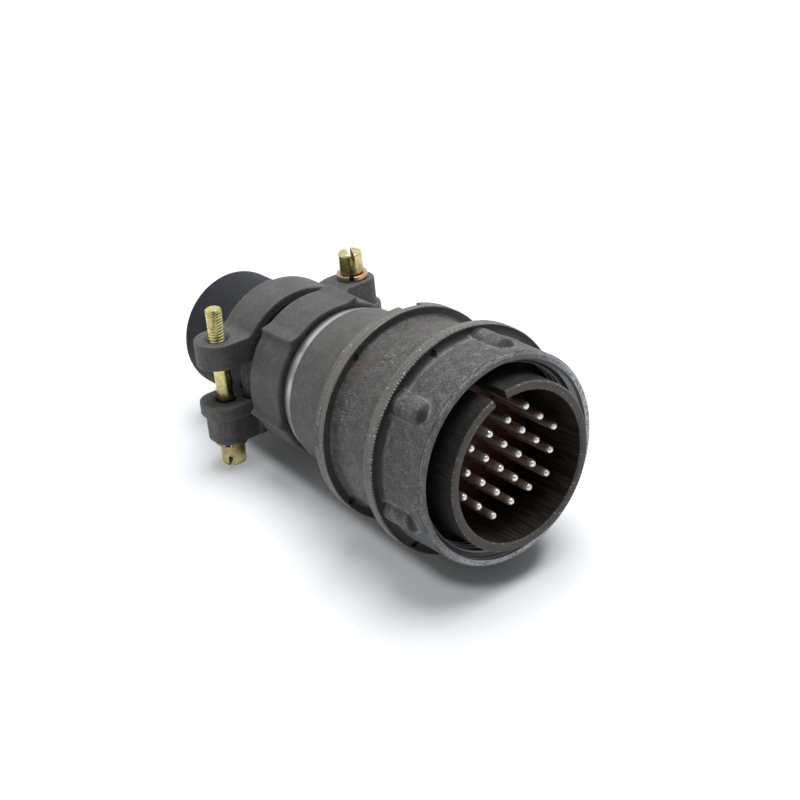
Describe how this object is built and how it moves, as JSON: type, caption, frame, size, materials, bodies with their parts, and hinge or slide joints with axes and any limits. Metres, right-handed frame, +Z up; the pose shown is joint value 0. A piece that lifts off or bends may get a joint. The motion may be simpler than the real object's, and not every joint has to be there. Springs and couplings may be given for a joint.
{
  "type": "circular connector plug",
  "caption": "Threaded circular cable plug with round-ended pins, a keyed shell, a turning coupling nut, a back shell and a screw-tightened saddle clamp round a rubber bushing.",
  "frame": {"origin": "on the plug's axis, in the plane of the shell's mouth", "axes": "+Y along the axis towards the cable, so the mating side faces -Y; +Z up as the plug lies; metres"},
  "size_m": [0.0468, 0.0961, 0.0468],
  "materials": {
    "nut_metal": "cast, dark grey conversion coat with light oxide marks",
    "shell_metal": "dark grey conversion coat, worn bright on edges",
    "clamp_metal": "smooth matte dark grey casting",
    "insulator": "glossy red-brown moulding",
    "contact_silver": "silver plated, polished",
    "spring_steel": "plain",
    "yellow_zinc": "yellow zinc plate",
    "washer_steel": "coppery zinc plate",
    "rubber": "matte blue-black"
  },
  "bodies": {
    "plug": {"plug_shell": "shell_metal", "front_insert": "insulator", "rear_insert": "insulator", "insert_ring": "spring_steel", "endbell": "shell_metal", "clamp_nut": "clamp_metal", "lower_saddle": "clamp_metal", "left_lock_washer": "washer_steel", "bushing": "rubber", "contact_01": "contact_silver", "contact_02": "contact_silver", "contact_03": "contact_silver", "contact_04": "contact_silver", "contact_05": "contact_silver", "contact_06": "contact_silver", "contact_07": "contact_silver", "contact_08": "contact_silver", "contact_09": "contact_silver", "contact_10": "contact_silver", "contact_11": "contact_silver", "contact_12": "contact_silver", "contact_13": "contact_silver", "contact_14": "contact_silver", "contact_15": "contact_silver", "contact_16": "contact_silver", "contact_17": "contact_silver", "contact_18": "contact_silver", "contact_19": "contact_silver", "contact_20": "contact_silver", "contact_21": "contact_silver", "contact_22": "contact_silver", "contact_23": "contact_silver", "contact_24": "contact_silver"},
    "nut": {"coupling_nut": "nut_metal"},
    "saddle": {"upper_saddle": "clamp_metal", "right_lock_washer": "washer_steel"},
    "left_screw": {"left_clamp_screw": "yellow_zinc"},
    "right_screw": {"right_clamp_screw": "yellow_zinc"}
  },
  "joints": [
    {"name": "coupling_spin", "type": "hinge", "parent": "plug", "child": "nut", "pos_m": [0, 0.01, 0], "axis": [0, 1, 0], "continuous": true},
    {"name": "left_screw_turn", "type": "hinge", "parent": "plug", "child": "left_screw", "pos_m": [-0.0178, 0.0735, 0], "axis": [0, 0, -1], "range_deg": [0, 3402]},
    {"name": "clamp_open", "type": "slide", "parent": "plug", "child": "saddle", "axis": [0, 0, 1], "range_m": [0, 0.006]},
    {"name": "right_screw_turn", "type": "hinge", "parent": "saddle", "child": "right_screw", "pos_m": [0.0178, 0.0735, 0], "axis": [0, 0, 1], "range_deg": [0, 3402]}
  ],
  "couplings": [
    {"joint": "left_screw_turn", "follows": "clamp_open", "rad_per_m": 9894.8},
    {"joint": "right_screw_turn", "follows": "clamp_open", "rad_per_m": 9894.8}
  ]
}
